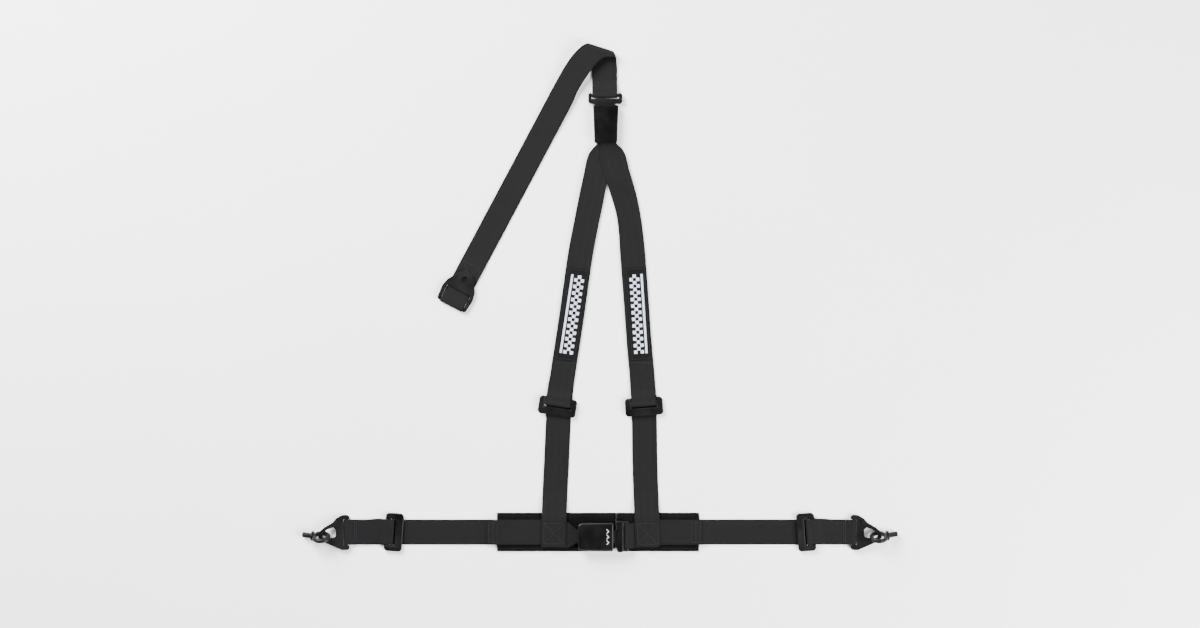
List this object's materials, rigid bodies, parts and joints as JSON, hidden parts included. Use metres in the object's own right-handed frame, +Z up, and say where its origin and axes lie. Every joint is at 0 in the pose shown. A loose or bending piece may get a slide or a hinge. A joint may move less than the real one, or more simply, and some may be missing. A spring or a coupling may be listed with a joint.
{
  "type": "racing harness",
  "caption": "Three-point racing harness laid flat: padded lap straps with buckle and snap hooks, shoulder straps with slides, and a folded tail strap with anchor plate.",
  "frame": {"origin": "centre of the laid-out harness at the surface it lies on", "axes": "+X along the lap straps, towards the tongue side; +Y from the lap straps to the yoke; +Z up from the surface"},
  "size_m": [1.1911, 1.0164, 0.0348],
  "materials": {
    "webbing": "woven, dull",
    "pad": "coated cloth, dull",
    "label": "woven patch",
    "slide_steel": "satin black",
    "hook_steel": "dark phosphate",
    "bright_steel": "zinc plated",
    "spring_steel": "oiled wire",
    "buckle_plastic": "fine grain",
    "yoke_plastic": "fine grain",
    "button_plastic": "satin red"
  },
  "bodies": {
    "root": {"yoke_plate": "slide_steel", "yoke_cover_front": "yoke_plastic", "yoke_cover_rear": "yoke_plastic", "shoulder_strap_left": "webbing", "shoulder_strap_right": "webbing", "tail_strap_root": "webbing", "tail_fold": "webbing", "lap_strap_left": "webbing", "lap_pad_left": "pad", "buckle_cover_lower": "buckle_plastic", "buckle_cover_upper": "buckle_plastic", "buckle_frame": "bright_steel", "ejector_spring": "spring_steel", "button_springs": "spring_steel", "latch_spring": "spring_steel"},
    "right_lap": {"tongue_plate": "bright_steel", "tongue_grip": "buckle_plastic", "lap_strap_right": "webbing", "lap_pad_right": "pad", "shoulder_strap_right_end": "webbing"},
    "latch": {"latch": "bright_steel"},
    "ejector": {"ejector": "buckle_plastic"},
    "release_button": {"release_button": "button_plastic"},
    "tail": {"tail_strap": "webbing"},
    "anchor": {"anchor_plate": "hook_steel"},
    "shoulder_slide_left": {"slide_frame_shoulder_left": "slide_steel", "slide_bar_shoulder_left": "slide_steel", "slide_wrap_shoulder_left": "webbing", "shoulder_return_left": "webbing", "label_left": "label"},
    "lap_pull_left": {"lap_loop_left": "webbing"},
    "lap_slide_left": {"slide_frame_lap_left": "slide_steel", "slide_bar_lap_left": "slide_steel", "slide_wrap_lap_left": "webbing"},
    "hook_left": {"snap_hook_left": "hook_steel", "gate_rivet_left": "hook_steel", "gate_spring_left": "spring_steel"},
    "gate_left": {"gate_left": "hook_steel"},
    "eyebolt_left": {"eyebolt_left": "hook_steel"},
    "shoulder_slide_right": {"slide_frame_shoulder_right": "slide_steel", "slide_bar_shoulder_right": "slide_steel", "slide_wrap_shoulder_right": "webbing", "shoulder_return_right": "webbing", "label_right": "label"},
    "lap_pull_right": {"lap_loop_right": "webbing"},
    "lap_slide_right": {"slide_frame_lap_right": "slide_steel", "slide_bar_lap_right": "slide_steel", "slide_wrap_lap_right": "webbing"},
    "hook_right": {"snap_hook_right": "hook_steel", "gate_rivet_right": "hook_steel", "gate_spring_right": "spring_steel"},
    "gate_right": {"gate_right": "hook_steel"},
    "eyebolt_right": {"eyebolt_right": "hook_steel"}
  },
  "joints": [
    {"name": "tongue_release", "type": "slide", "parent": "root", "child": "right_lap", "axis": [1, 0, 0], "range_m": [0, 0.009]},
    {"name": "button_press", "type": "slide", "parent": "root", "child": "release_button", "axis": [-1, 0, 0], "range_m": [0, 0.004], "stiffness_N_per_m": 400, "deforming": ["button_springs"]},
    {"name": "latch_lift", "type": "slide", "parent": "root", "child": "latch", "axis": [0, 0, 1], "range_m": [0, 0.0044], "deforming": ["latch_spring"]},
    {"name": "ejector_push", "type": "slide", "parent": "root", "child": "ejector", "axis": [1, 0, 0], "range_m": [0, 0.009], "deforming": ["ejector_spring"]},
    {"name": "shoulder_adjust_left", "type": "slide", "parent": "root", "child": "shoulder_slide_left", "axis": [-0.057, -0.9984, 0], "range_m": [0, 0.05]},
    {"name": "shoulder_adjust_right", "type": "slide", "parent": "root", "child": "shoulder_slide_right", "axis": [0.04, -0.9992, 0], "range_m": [0, 0.05]},
    {"name": "lap_pull_left", "type": "slide", "parent": "root", "child": "lap_pull_left", "axis": [1, 0, 0], "range_m": [0, 0.03]},
    {"name": "lap_slide_left", "type": "slide", "parent": "lap_pull_left", "child": "lap_slide_left", "axis": [1, 0, 0], "range_m": [0, 0.03]},
    {"name": "hook_swing_left", "type": "hinge", "parent": "lap_pull_left", "child": "hook_left", "pos_m": [-0.507, -0.469, 0.0052], "axis": [0, 1, 0], "range_deg": [0, 80]},
    {"name": "gate_open_left", "type": "hinge", "parent": "hook_left", "child": "gate_left", "pos_m": [-0.52577, -0.451, 0.00817], "axis": [0.1564, 0, 0.9877], "range_deg": [0, 40], "stiffness_Nm_per_rad": 0.03, "springref_deg": -22.92, "deforming": ["gate_spring_left"]},
    {"name": "eyebolt_swing_left", "type": "hinge", "parent": "hook_left", "child": "eyebolt_left", "pos_m": [-0.556, -0.4779, 0.0176], "axis": [-0.0389, 0.8761, 0.4806], "range_deg": [0, 70]},
    {"name": "lap_pull_right", "type": "slide", "parent": "right_lap", "child": "lap_pull_right", "axis": [-1, 0, 0], "range_m": [0, 0.03]},
    {"name": "lap_slide_right", "type": "slide", "parent": "lap_pull_right", "child": "lap_slide_right", "axis": [-1, 0, 0], "range_m": [0, 0.03]},
    {"name": "hook_swing_right", "type": "hinge", "parent": "lap_pull_right", "child": "hook_right", "pos_m": [0.507, -0.469, 0.0052], "axis": [0, -1, 0], "range_deg": [0, 80]},
    {"name": "gate_open_right", "type": "hinge", "parent": "hook_right", "child": "gate_right", "pos_m": [0.52577, -0.451, 0.00817], "axis": [0.1564, 0, -0.9877], "range_deg": [0, 40], "stiffness_Nm_per_rad": 0.03, "springref_deg": -22.92, "deforming": ["gate_spring_right"]},
    {"name": "eyebolt_swing_right", "type": "hinge", "parent": "hook_right", "child": "eyebolt_right", "pos_m": [0.556, -0.4779, 0.0176], "axis": [-0.0006, -0.8769, -0.4806], "range_deg": [0, 70]},
    {"name": "tail_unfold", "type": "hinge", "parent": "root", "child": "tail", "pos_m": [0, 0.4915, 0.01], "axis": [-0.9491, 0.315, 0], "range_deg": [0, 150], "deforming": ["tail_fold"]},
    {"name": "anchor_swing", "type": "hinge", "parent": "tail", "child": "anchor", "pos_m": [-0.29646, -0.01323, 0.0052], "axis": [0.8827, -0.4699, 0], "range_deg": [0, 170]}
  ],
  "couplings": [
    {"joint": "button_press", "follows": "tongue_release", "ratio": 0.444},
    {"joint": "latch_lift", "follows": "tongue_release", "ratio": 0.4888},
    {"joint": "ejector_push", "follows": "tongue_release", "ratio": 1},
    {"joint": "lap_slide_left", "follows": "lap_pull_left", "ratio": 1},
    {"joint": "lap_slide_right", "follows": "lap_pull_right", "ratio": 1}
  ]
}
